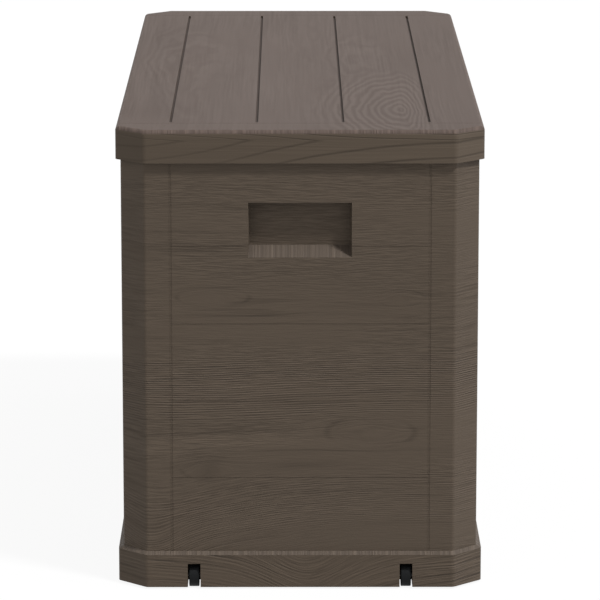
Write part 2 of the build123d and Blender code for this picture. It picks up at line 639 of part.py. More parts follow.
with BuildPart() as bar_saddles:
    for number in range(4):
        saddle_x = (number - 1.5) * SADDLE_PITCH
        with BuildSketch(Plane.YZ.offset(saddle_x)):
            for side in (-1, 1):
                with Locations((side * BAR_SPACING / 2, LID_UNDERSIDE - (BAR_HEIGHT + SADDLE_THICK) / 2)):
                    Rectangle(BAR_WIDTH + 2 * (FIT + SADDLE_THICK), BAR_HEIGHT + SADDLE_THICK)
                with Locations((side * BAR_SPACING / 2, LID_UNDERSIDE - SADDLE_THICK / 2)):
                    Rectangle(BAR_WIDTH + 2 * SADDLE_EAR, SADDLE_THICK)
                with Locations((side * BAR_SPACING / 2, LID_UNDERSIDE - BAR_HEIGHT / 2)):
                    Rectangle(BAR_WIDTH + 2 * FIT, BAR_HEIGHT, mode=Mode.SUBTRACT)
        extrude(amount=SADDLE_LENGTH / 2, both=True)
    with BuildSketch(Plane.XY.offset(LID_UNDERSIDE)):
        with Locations(saddle_screw_places):
            Circle(SCREW_RADIUS + RUNNING)
    extrude(amount=-SADDLE_THICK, mode=Mode.SUBTRACT)

with BuildPart() as saddle_screws:
    with BuildSketch(Plane.XY.offset(LID_UNDERSIDE - SADDLE_THICK)):
        with Locations(saddle_screw_places):
            Circle(SCREW_HEAD_RADIUS)
    extrude(amount=-SCREW_HEAD)
    with BuildSketch(Plane.XY.offset(LID_UNDERSIDE - SADDLE_THICK)):
        with Locations(saddle_screw_places):
            Circle(SCREW_RADIUS)
    extrude(amount=SADDLE_SCREW_LENGTH)


# ---- Hinges ----

def body_leaf(hinge_x):
    """Leaf on the rear wall with the two outer knuckles."""
    wall_y = BODY_WIDTH / 2
    foot = HINGE_Z - BODY_LEAF_DROP
    head = HINGE_Z - KNUCKLE_RADIUS - BODY_GAP
    with BuildPart() as leaf:
        with BuildSketch(Plane.YZ.offset(hinge_x)):
            with Locations((wall_y + LEAF_THICK / 2, (foot + head) / 2)):
                Rectangle(LEAF_THICK, head - foot)
        extrude(amount=HINGE_WIDTH / 2, both=True)
        for side in (-1, 1):
            knuckle_x = hinge_x + side * (HINGE_WIDTH - BODY_KNUCKLE) / 2
            with BuildSketch(Plane.YZ.offset(knuckle_x)):
                with Locations((wall_y + LEAF_THICK / 2, (foot + HINGE_Z) / 2)):
                    Rectangle(LEAF_THICK, HINGE_Z - foot)
                with Locations((HINGE_Y, HINGE_Z)):
                    Circle(KNUCKLE_RADIUS)
                    Circle(PIN_RADIUS + RUNNING, mode=Mode.SUBTRACT)
            extrude(amount=BODY_KNUCKLE / 2, both=True)
        with BuildSketch(BACK):
            with Locations(
                [(-hinge_x - side * HINGE_SCREW_SPACING / 2, HINGE_Z - BODY_SCREW_DROP) for side in (-1, 1)]
            ):
                Circle(SCREW_RADIUS + RUNNING)
        extrude(amount=LEAF_THICK, mode=Mode.SUBTRACT)
    return leaf


def lid_leaf(hinge_x):
    """Leaf inside the rear skirt with the middle knuckle."""
    leaf_y = SKIRT_INNER_Y - LEAF_THICK / 2
    foot = HINGE_Z + KNUCKLE_RADIUS + BODY_GAP
    head = HINGE_Z + LID_LEAF_RISE
    with BuildPart() as leaf:
        with BuildSketch(Plane.YZ.offset(hinge_x)):
            with Locations((leaf_y, (foot + head) / 2)):
                Rectangle(LEAF_THICK, head - foot)
        extrude(amount=HINGE_WIDTH / 2, both=True)
        with BuildSketch(Plane.YZ.offset(hinge_x)):
            with Locations((leaf_y, (HINGE_Z + head) / 2)):
                Rectangle(LEAF_THICK, head - HINGE_Z)
            with Locations((HINGE_Y, HINGE_Z)):
                Circle(KNUCKLE_RADIUS)
                Circle(PIN_RADIUS + RUNNING, mode=Mode.SUBTRACT)
        extrude(amount=LID_KNUCKLE / 2, both=True)
        with BuildSketch(Plane(origin=(0, SKIRT_INNER_Y, 0), x_dir=(-1, 0, 0), z_dir=(0, 1, 0))):
            with Locations(
                [(-hinge_x - side * HINGE_SCREW_SPACING / 2, HINGE_Z + LID_SCREW_RISE) for side in (-1, 1)]
            ):
                Circle(SCREW_RADIUS + RUNNING)
        extrude(amount=-LEAF_THICK, mode=Mode.SUBTRACT)
    return leaf


def hinge_pin(hinge_x):
    """Headed pin through the three knuckles."""
    with BuildPart() as pin:
        with BuildSketch(Plane.YZ.offset(hinge_x)):
            with Locations((HINGE_Y, HINGE_Z)):
                Circle(PIN_RADIUS)
        extrude(amount=HINGE_WIDTH / 2, both=True)
        for side in (-1, 1):
            with BuildSketch(Plane.YZ.offset(hinge_x + side * (HINGE_WIDTH + PIN_HEAD) / 2)):
                with Locations((HINGE_Y, HINGE_Z)):
                    Circle(PIN_HEAD_RADIUS)
            extrude(amount=PIN_HEAD / 2, both=True)
    return pin


left_body_leaf, middle_body_leaf, right_body_leaf = [body_leaf(x) for x in HINGE_XS]
left_lid_leaf, middle_lid_leaf, right_lid_leaf = [lid_leaf(x) for x in HINGE_XS]
left_hinge_pin, middle_hinge_pin, right_hinge_pin = [hinge_pin(x) for x in HINGE_XS]

with BuildPart() as body_hinge_screws:
    with BuildSketch(BACK.offset(LEAF_THICK)):
        with Locations(body_hinge_screw_places):
            Circle(SCREW_HEAD_RADIUS)
    extrude(amount=SCREW_HEAD)
    with BuildSketch(BACK.offset(LEAF_THICK)):
        with Locations(body_hinge_screw_places):
            Circle(SCREW_RADIUS)
    extrude(amount=-SCREW_LENGTH)

with BuildPart() as lid_hinge_screws:
    countersink = SCREW_HEAD_RADIUS - SCREW_RADIUS
    with BuildSketch(rear_skirt):
        with Locations(lid_screw_places):
            Circle(SCREW_RADIUS)
    extrude(amount=-(LID_WALL + LEAF_THICK))
    with Locations([rear_skirt * Location((x, z, -countersink / 2)) for x, z in lid_screw_places]):
        Cone(SCREW_RADIUS, SCREW_HEAD_RADIUS, countersink)


# ---- Padlock plate ----

with BuildPart() as lock_plate:
    plate_top = LID_BOTTOM - 2 * BODY_GAP
    with BuildSketch(FRONT):
        with Locations((0, plate_top - LOCK_PLATE_HEIGHT / 2)):
            RectangleRounded(LOCK_PLATE_WIDTH, LOCK_PLATE_HEIGHT, LOCK_PLATE_THICK)
        with Locations((0, LOCK_HOLE_Z)):
            Circle(LOCK_HOLE_RADIUS, mode=Mode.SUBTRACT)
        with Locations([(side * LOCK_SCREW_SPACING / 2, LOCK_HOLE_Z) for side in (-1, 1)]):
            Circle(SCREW_RADIUS + RUNNING, mode=Mode.SUBTRACT)
    extrude(amount=LOCK_PLATE_THICK)

with BuildPart() as lock_plate_screws:
    with BuildSketch(FRONT.offset(LOCK_PLATE_THICK)) as lock_heads:
        with Locations([(side * LOCK_SCREW_SPACING / 2, LOCK_HOLE_Z) for side in (-1, 1)]):
            Circle(SCREW_HEAD_RADIUS)
    extrude(amount=SCREW_HEAD)
    with BuildSketch(FRONT.offset(LOCK_PLATE_THICK)):
        with Locations([(side * LOCK_SCREW_SPACING / 2, LOCK_HOLE_Z) for side in (-1, 1)]):
            Circle(SCREW_RADIUS)
    extrude(amount=-SCREW_LENGTH)


pieces = {
    "base_tray": base_tray,
    "far_end_feet": far_end_feet,
    "front_panel": front_panel,
    "back_panel": back_panel,
    "wheel_end_panel": wheel_end_panel,
    "far_end_panel": far_end_panel,
    "front_wheel_end_post": front_wheel_end_post,
    "back_wheel_end_post": back_wheel_end_post,
    "front_far_end_post": front_far_end_post,
    "back_far_end_post": back_far_end_post,
    "base_screws": base_screws,
    "front_wheel": front_wheel,
    "back_wheel": back_wheel,
    "front_wheel_axle": front_wheel_axle,
    "back_wheel_axle": back_wheel_axle,
    "axle_rings": axle_rings,
    "lid_shell": lid_shell,
    "lid_bar_front": lid_bar_front,
    "lid_bar_back": lid_bar_back,
    "bar_saddles": bar_saddles,
    "saddle_screws": saddle_screws,
    "left_body_leaf": left_body_leaf,
    "middle_body_leaf": middle_body_leaf,
    "right_body_leaf": right_body_leaf,
    "left_lid_leaf": left_lid_leaf,
    "middle_lid_leaf": middle_lid_leaf,
    "right_lid_leaf": right_lid_leaf,
    "left_hinge_pin": left_hinge_pin,
    "middle_hinge_pin": middle_hinge_pin,
    "right_hinge_pin": right_hinge_pin,
    "body_hinge_screws": body_hinge_screws,
    "lid_hinge_screws": lid_hinge_screws,
    "lock_plate": lock_plate,
    "lock_plate_screws": lock_plate_screws,
}

os.makedirs("parts", exist_ok=True)
for name, piece in pieces.items():
    piece.part.label = name
    export_step(piece.part, f"parts/{name}.step")
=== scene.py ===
import json
import math

import bpy
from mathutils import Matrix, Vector


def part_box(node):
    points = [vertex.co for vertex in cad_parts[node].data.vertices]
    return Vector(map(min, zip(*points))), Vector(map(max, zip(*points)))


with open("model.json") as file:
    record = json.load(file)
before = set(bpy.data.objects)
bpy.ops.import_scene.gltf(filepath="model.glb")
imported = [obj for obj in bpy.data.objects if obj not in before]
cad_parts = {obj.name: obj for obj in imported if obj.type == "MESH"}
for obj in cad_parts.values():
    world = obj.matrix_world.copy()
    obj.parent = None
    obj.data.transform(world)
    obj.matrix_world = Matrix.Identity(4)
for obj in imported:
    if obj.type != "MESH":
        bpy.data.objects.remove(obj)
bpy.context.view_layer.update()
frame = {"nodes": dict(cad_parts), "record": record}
nodes = frame["nodes"]
print("loaded", len(nodes), "nodes")


# small helpers for node trees
def newMaterial(name):
    material = bpy.data.materials.new(name)
    material.use_nodes = True
    tree = material.node_tree
    tree.nodes.clear()
    output = tree.nodes.new("ShaderNodeOutputMaterial")
    return material, tree, output.inputs["Surface"]


def newFinish(name):
    material, tree, surface = newMaterial(name)
    shader = tree.nodes.new("ShaderNodeBsdfPrincipled")
    tree.links.new(shader.outputs[0], surface)
    return material, tree, shader


def plug(tree, value, socket):
    # a socket is linked, a number or a colour is set
    if isinstance(value, bpy.types.NodeSocket):
        tree.links.new(value, socket)
    else:
        socket.default_value = value


def calc(tree, operation, first, second=0.0, third=0.0):
    node = tree.nodes.new("ShaderNodeMath")
    node.operation = operation
    for socket, value in zip(node.inputs, (first, second, third)):
        plug(tree, value, socket)
    return node.outputs[0]


def squared(tree, value):
    return calc(tree, "MULTIPLY", value, value)


def vectorCalc(tree, operation, first, second=(0, 0, 0), output=0):
    node = tree.nodes.new("ShaderNodeVectorMath")
    node.operation = operation
    plug(tree, first, node.inputs[0])
    plug(tree, second, node.inputs[1])
    return node.outputs[output]


def joinAxes(tree, x, y=0.0, z=0.0):
    joined = tree.nodes.new("ShaderNodeCombineXYZ")
    for socket, value in zip(joined.inputs, (x, y, z)):
        plug(tree, value, socket)
    return joined.outputs[0]


def splitAxes(tree, vector):
    parts = tree.nodes.new("ShaderNodeSeparateXYZ")
    tree.links.new(vector, parts.inputs[0])
    return parts.outputs


def pick(tree, chooser, whenOff, whenOn):
    # whenOn where chooser is 1, whenOff where it is 0
    node = tree.nodes.new("ShaderNodeMix")
    node.data_type = "FLOAT"
    plug(tree, chooser, node.inputs[0])
    plug(tree, whenOff, node.inputs[2])
    plug(tree, whenOn, node.inputs[3])
    return node.outputs[0]


def spread(tree, value, cut, span=(0.0, 1.0), smooth=True):
    # what lies between the two levels of the cut is stretched over the span
    node = tree.nodes.new("ShaderNodeMapRange")
    node.interpolation_type = "SMOOTHSTEP" if smooth else "LINEAR"
    for socket, number in zip(node.inputs, (value, *cut, *span)):
        plug(tree, number, socket)
    return node.outputs[0]


def noise(tree, vector, scales, detail=1.0, roughness=0.5):
    node = tree.nodes.new("ShaderNodeTexNoise")
    plug(tree, vectorCalc(tree, "MULTIPLY", vector, scales), node.inputs["Vector"])
    node.inputs["Scale"].default_value = 1.0
    node.inputs["Detail"].default_value = detail
    node.inputs["Roughness"].default_value = roughness
    return node.outputs[0]


def patches(tree, vector, scales, cut, span):
    return spread(tree, noise(tree, vector, scales), cut, span)


def centred(tree, value):
    # 0 to 1 becomes -0.5 to 0.5
    return calc(tree, "SUBTRACT", value, 0.5)


def grey(tree, value):
    joined = tree.nodes.new("ShaderNodeCombineColor")
    for socket in joined.inputs:
        plug(tree, value, socket)
    return joined.outputs[0]


def multiplyColor(tree, color, by, share=1.0):
    node = tree.nodes.new("ShaderNodeMix")
    node.data_type = "RGBA"
    node.blend_type = "MULTIPLY"
    plug(tree, share, node.inputs[0])
    plug(tree, color, node.inputs[6])
    plug(tree, by, node.inputs[7])
    return node.outputs[2]


def addBump(tree, shader, height, depth, strength):
    bump = tree.nodes.new("ShaderNodeBump")
    bump.inputs["Distance"].default_value = depth
    bump.inputs["Strength"].default_value = strength
    plug(tree, height, bump.inputs["Height"])
    tree.links.new(bump.outputs[0], shader.inputs["Normal"])


# moulded plastic with embossed wood grain; lengths in metres, noise scales in cells per metre
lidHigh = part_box("lid_shell")[1]
woodGrain = {
    "wall": {
        "color": (0.0770, 0.0578, 0.0416),
        # upwardSheen is a painted sheen: a greyer, bluer tint for faces that look up
        "upwardSheen": (0.975, 1.012, 1.10),
        "slant": 0.0,
        "sway": (0.011, (2.4, 7.0, 3.0)),
        # lines pushed aside: along, up, depth, half length, half height, how far
        "bends": [
            (-0.160, 0.120, 0.563, 0.100, 0.030, 0.016),
            (0.150, 0.030, 0.563, 0.170, 0.055, -0.045),
            (-0.190, 0.060, 0.563, 0.060, 0.050, 0.045),
            (-0.310, 0.300, 0.229, 0.200, 0.050, 0.040),
            (0.250, 0.120, -0.229, 0.240, 0.060, -0.050),
        ],
        # lines parted round a calm lens: along, up, depth, half length, half height,
        # how much, how dark its outline
        "eyes": [
            (0.090, 0.206, 0.563, 0.056, 0.021, 0.95, 0.26),
            (-0.111, 0.158, 0.563, 0.042, 0.016, 0.90, 0.16),
            (0.128, 0.382, 0.563, 0.030, 0.011, 0.90, 0.10),
            (-0.112, 0.383, 0.563, 0.046, 0.012, 0.95, 0.40),
            (-0.120, 0.430, -0.229, 0.090, 0.024, 0.90, 0.22),
            (0.330, 0.200, 0.229, 0.080, 0.020, 0.90, 0.22),
        ],
        # smudges: along, up, depth, half length, half height, how dark, below zero for light ones
        "smudgesAndRimShade": [
            (-0.113, 0.213, 0.563, 0.060, 0.0035, 0.18),
            (-0.120, 0.160, 0.563, 0.026, 0.0100, 0.24),
            (-0.005, 0.161, 0.563, 0.060, 0.0070, 0.22),
            (-0.070, 0.368, 0.563, 0.090, 0.0022, 0.32),
            (0.020, 0.183, 0.563, 0.160, 0.0022, 0.26),
            (0.060, 0.405, 0.563, 0.160, 0.0450, 0.06),
            (-0.060, 0.195, 0.563, 0.200, 0.0110, -0.13),
            (-0.130, 0.200, 0.563, 0.110, 0.0130, -0.15),
            (-0.020, 0.087, 0.563, 0.230, 0.0160, -0.09),
            (-0.100, 0.273, 0.563, 0.160, 0.0120, -0.06),
        ],
        # strength and scales of fine lines, bold lines and broad streaks
        "fine": (0.30, (34.0, 520.0, 9.0)),
        "bold": (0.30, (8.0, 190.0, 6.0)),
        "streak": (0.07, (5.0, 80.0, 6.0)),
        # close even lines: spacing, how strong, middle height, how far they reach
        "close": [(0.0031, 0.80, 0.270, 0.048), (0.0034, 0.42, 0.106, 0.046)],
        "roughness": 0.58,
    },
    "trim": {
        "color": (0.0748, 0.0557, 0.0396),
        "upwardSheen": (0.975, 1.012, 1.10),
        "slant": 0.02,
        "sway": (0.006, (5.0, 14.0, 3.0)),
        "bends": [(0.010, 0.020, 0.570, 0.070, 0.120, 0.060)],
        "fine": (0.42, (24.0, 420.0, 9.0)),
        "bold": (0.95, (6.0, 220.0, 6.0)),
        "streak": (0.05, (5.0, 80.0, 6.0)),
        "close": [(0.0046, 0.34, 0.050, 0.060)],
        "roughness": 0.58,
    },
    "lid": {
        "color": (0.0780, 0.0588, 0.0420),
        "upwardSheen": (0.950, 0.900, 1.035),
        "slant": 0.0,
        "sway": (0.006, (2.6, 8.0, 3.0)),
        # growth lines on the top are the contours of a gentle slope with peaks on it
        "slope": 22.0,  # lines per metre
        "wander": (2.4, (8.0, 32.0, 3.0)),
        # peaks: along, across, reach along, to one side, to the other, how many lines, how strong
        "peaks": [
            (0.405, 0.132, 0.350, 0.117, 0.042, 9.0, 0.105),
            (-0.070, 0.070, 0.260, 0.042, 0.060, 2.3, 0.050),
            (0.300, -0.160, 0.300, 0.030, 0.040, 1.8, 0.042),
            (-0.060, -0.178, 0.360, 0.050, 0.090, 3.4, 0.055),
            (-0.420, 0.020, 0.500, 0.050, 0.020, 2.0, 0.030),
        ],
        # pointed arches lying along the rim, in groups that end in long level lines
        "arches": {
            "spacing": 0.137,
            "pointHeight": lidHigh[2] - 0.013,
            "lean": (7.3, 20.0),  # below and above the points
            "bluntness": 0.012,
            "group": (0.50, -0.06, 0.75),  # length, middle, how strongly it gathers
            "drift": (0.25, (5.0, 30.0, 3.0)),  # in shares of the spacing
            "sharpness": 16.0,
            "leastBold": 0.3,
            "dark": 0.34,
            "start": 0.69,
        },
        # four on the top, where across stands for up and height for depth, and two on the rim, which paint
        # shade on its left and light on its right, as the key light from the right falls
        "smudgesAndRimShade": [
            (0.250, -0.055, 0.600, 0.160, 0.045, -0.06),
            (-0.040, 0.150, 0.600, 0.250, 0.035, 0.06),
            (-0.300, -0.190, 0.600, 0.250, 0.035, 0.09),
            (0.420, -0.195, 0.600, 0.100, 0.050, 0.09),
            # painted shade on the left of the rim, painted light on its right
            (-0.180, 0.583, 0.570, 0.120, 0.050, 0.09),
            (0.180, 0.583, 0.570, 0.100, 0.050, -0.11),
        ],
        "fine": (0.11, (5.0, 300.0, 9.0)),
        "bold": (0.07, (4.0, 140.0, 6.0)),
        "streak": (0.05, (3.0, 50.0, 6.0)),
        # where a groove's bottom is told from the rest of the lid, and how much painted shade darkens it
        "grooves": {
            "highest": lidHigh[2] - 0.0005,
            "lowest": lidHigh[2] - 0.0045,
            "reach": (lidHigh[0] - 0.02, lidHigh[1] - 0.02),
            "dark": 0.30,
        },
        "roughness": 0.62,
    },
}

# what the three grained finishes share; a patch has its scales, the cut and the span
embossing = {
    "flatFrom": 0.985,  # how much a face looks up, 1 for straight up
    "tiltedFrom": 0.25,
    "endFrom": 0.5,  # looking along as a share of looking across
    "fading": 4.0,  # of bends, eyes and smudges behind their face, per metre
    "swayDetail": (2.0, 0.45),
    "finePatch": ((3.0, 15.0, 5.0), (0.36, 0.64), (0.25, 1.1)),
    "fineDetail": (2.0, 0.6),
    "fineCut": (0.34, 0.66),
    "boldPatch": ((2.6, 16.0, 4.0), (0.40, 0.60), (0.20, 0.9)),
    "boldCut": (0.56, 0.68),
    "boldNearEye": 0.9,
    "outlineCut": (0.0, 0.07),
    "outlinePatch": ((16.0, 60.0, 4.0), (0.42, 0.58), (0.1, 1.0)),
    "streakCut": (0.56, 0.74),
    "closeSwell": ((30.0, 190.0, 9.0), (0.3, 0.7), (0.15, 1.0)),
    "closeShift": (9.0, (7.0, 55.0, 5.0)),  # in radians
    "closeFade": (0.6, 1.15),  # from here to there in shares of their reach
    "peakFade": (0.55, 1.25),
    # sloping and rounded edges: scales and detail of the streaks, where they are strong, level, most; the
    # level lightens them all, painted light
    "edge": ((150.0, 1.0, 1.0), 3.0, 0.7),
    "edgePatch": ((17.0, 1.0, 1.0), (0.38, 0.62), (1.6, 5.8)),
    "edgePaintedLight": -0.15,
    "edgeMost": 0.05,
    # colour: how much the relief darkens it, its level, and broad clouds
    "darkening": 0.75,
    "level": 1.02,
    "cloud": (0.16, (3.0, 9.0, 3.0)),
    "dullCut": (-0.1, 0.2),
    "dulling": 0.12,
    "grit": (0.08, (700.0, 700.0, 700.0)),
    "depth": 0.0016,
    "bump": 0.6,
    "specular": 0.22,
    "refraction": 1.48,
}


def nearness(tree, vector, spot):
    # 1 in the middle of the spot, a half at its edge
    along, up, depth, halfLength, halfHeight = spot
    away = vectorCalc(tree, "SUBTRACT", vector, (along, up, depth))
    away = vectorCalc(tree, "MULTIPLY", away, (1 / halfLength, 1 / halfHeight, embossing["fading"]))
    length = vectorCalc(tree, "LENGTH", away, output=1)
    return calc(tree, "DIVIDE", 1.0, calc(tree, "MULTIPLY_ADD", length, length, 1.0))


def faceKinds(tree, normal):
    # 1 where a face is flat, anything but flat, tilted, or part of an end
    facingX, facingY, facingZ = [calc(tree, "ABSOLUTE", socket) for socket in splitAxes(tree, normal)]
    isFlat = calc(tree, "GREATER_THAN", facingZ, embossing["flatFrom"])
    isSide = calc(tree, "SUBTRACT", 1.0, isFlat)
    isTilted = calc(tree, "MULTIPLY", calc(tree, "GREATER_THAN", facingZ, embossing["tiltedFrom"]), isSide)
    isEnd = calc(tree, "GREATER_THAN", facingX, calc(tree, "MULTIPLY", facingY, embossing["endFrom"]))
    return isFlat, isSide, isTilted, isEnd


def growthLevel(tree, vector, isSide, grain):
    # growth lines follow a level that sways, slants, is pushed aside by bends and parts round eyes
    along, across, depth = splitAxes(tree, vector)
    rise = calc(tree, "MULTIPLY", calc(tree, "MULTIPLY", along, isSide), -grain["slant"])
    level = calc(tree, "ADD", across, rise)
    swayBy, swayScale = grain["sway"]
    sway = centred(tree, noise(tree, vector, swayScale, *embossing["swayDetail"]))
    level = calc(tree, "MULTIPLY_ADD", sway, 2 * swayBy, level)
    for *spot, push in grain.get("bends", []):
        level = calc(tree, "MULTIPLY_ADD", nearness(tree, vector, spot), push, level)
    nearEye = 0.0
    outline = 0.0
    for *spot, parting, dark in grain.get("eyes", []):
        near = nearness(tree, vector, spot)
        nearEye = calc(tree, "MAXIMUM", near, nearEye)
        fromEdge = calc(tree, "ABSOLUTE", centred(tree, near))
        ring = spread(tree, fromEdge, embossing["outlineCut"], (dark, 0.0))
        outline = calc(tree, "MAXIMUM", ring, outline)
        pull = calc(tree, "MULTIPLY", squared(tree, near), -parting)
        level = calc(tree, "MULTIPLY_ADD", calc(tree, "SUBTRACT", level, spot[1]), pull, level)
    return joinAxes(tree, along, level, depth), level, nearEye, outline


def closeLines(tree, vector, lineVector, level, finePatch, isSide, grain):
    # even lines in level bands, uneven in depth and slightly wavy
    shiftBy, shiftScale = embossing["closeShift"]
    shift = noise(tree, vector, shiftScale, detail=2.0)
    swell = patches(tree, lineVector, *embossing["closeSwell"])
    relief = 0.0
    for spacing, strength, middle, reach in grain["close"]:
        away = calc(tree, "ABSOLUTE", calc(tree, "SUBTRACT", level, middle))
        here = spread(tree, away, [share * reach for share in embossing["closeFade"]], (1.0, 0.0))
        here = calc(tree, "MULTIPLY", here, isSide)
        here = calc(tree, "MULTIPLY", here, calc(tree, "MULTIPLY_ADD", finePatch, 0.5, 0.5))
        turn = calc(tree, "MULTIPLY", level, 2 * math.pi / spacing)
        wave = calc(tree, "SINE", calc(tree, "MULTIPLY_ADD", shift, shiftBy, turn))
        wave = calc(tree, "MULTIPLY", calc(tree, "MULTIPLY", wave, swell), here)
        relief = calc(tree, "MULTIPLY_ADD", wave, 0.5 * strength, relief)
    return relief


def archLines(tree, vector, level, isSide, boldHere, arches):
    along = splitAxes(tree, vector)[0]
    arm = calc(tree, "SUBTRACT", level, arches["pointHeight"])
    lean = pick(tree, calc(tree, "GREATER_THAN", arm, 0.0), *arches["lean"])
    arm = calc(tree, "MULTIPLY", arm, lean)
    arm = calc(tree, "POWER", calc(tree, "MULTIPLY_ADD", arm, arm, arches["bluntness"] ** 2), 0.5)
    groupLength, groupMiddle, gather = arches["group"]
    groupTurn = calc(tree, "SUBTRACT", along, groupMiddle)
    groupTurn = calc(tree, "MULTIPLY", groupTurn, 2 * math.pi / groupLength)
    gathered = gather * groupLength / (2 * math.pi)
    reach = calc(tree, "MULTIPLY_ADD", calc(tree, "SINE", groupTurn), gathered, along)
    driftBy, driftScale = arches["drift"]
    drift = noise(tree, vector, driftScale)
    reach = calc(tree, "MULTIPLY_ADD", drift, driftBy * arches["spacing"], reach)
    reach = calc(tree, "DIVIDE", calc(tree, "ADD", reach, arm), arches["spacing"])
    turn = calc(tree, "MULTIPLY", calc(tree, "SUBTRACT", reach, arches["start"]), 2 * math.pi)
    line = calc(tree, "MULTIPLY_ADD", calc(tree, "COSINE", turn), 0.5, 0.5)
    line = calc(tree, "MULTIPLY", calc(tree, "POWER", line, arches["sharpness"]), isSide)
    line = calc(tree, "MULTIPLY", line, calc(tree, "ADD", boldHere, arches["leastBold"]))
    return calc(tree, "MULTIPLY", line, arches["dark"])


def contourLines(tree, vector, x, y, grain):
    wanderBy, wanderScale = grain["wander"]
    turns = calc(tree, "MULTIPLY", noise(tree, vector, wanderScale, detail=2.0), wanderBy)
    turns = calc(tree, "MULTIPLY_ADD", y, grain["slope"], turns)
    strong = 0.0
    for middleX, middleY, reachX, reachLow, reachHigh, lines, strength in grain["peaks"]:
        offX = calc(tree, "DIVIDE", calc(tree, "SUBTRACT", x, middleX), reachX)
        offY = calc(tree, "SUBTRACT", y, middleY)
        reachY = pick(tree, calc(tree, "GREATER_THAN", offY, 0.0), reachLow, reachHigh)
        offY = calc(tree, "DIVIDE", offY, reachY)
        away = calc(tree, "POWER", calc(tree, "MULTIPLY_ADD", offX, offX, squared(tree, offY)), 0.5)
        turns = calc(tree, "ADD", turns, spread(tree, away, (0.0, 1.0), (lines, 0.0), smooth=False))
        strong = calc(tree, "MAXIMUM", strong, spread(tree, away, embossing["peakFade"], (strength, 0.0)))
    wave = calc(tree, "COSINE", calc(tree, "MULTIPLY", turns, 2 * math.pi))
    return calc(tree, "MULTIPLY", wave, strong)


def edgeStreaksAndLight(tree, sideAlong):
    # rounded and sloping edges carry the grain stretched across them, and are lightened all over: painted
    # light, as if they caught more of the lamps
    edgeVector = joinAxes(tree, sideAlong)
    streak = centred(tree, noise(tree, edgeVector, *embossing["edge"]))
    strength = patches(tree, edgeVector, *embossing["edgePatch"])
    streak = calc(tree, "MULTIPLY_ADD", streak, strength, embossing["edgePaintedLight"])
    return calc(tree, "MINIMUM", streak, embossing["edgeMost"])


def grooveShadeMask(tree, x, y, z, grooves):
    reachX, reachY = grooves["reach"]
    inside = calc(tree, "LESS_THAN", z, grooves["highest"])
    inside = calc(tree, "MULTIPLY", inside, calc(tree, "GREATER_THAN", z, grooves["lowest"]))
    inside = calc(tree, "MULTIPLY", inside, calc(tree, "LESS_THAN", calc(tree, "ABSOLUTE", x), reachX))
    return calc(tree, "MULTIPLY", inside, calc(tree, "LESS_THAN", calc(tree, "ABSOLUTE", y), reachY))


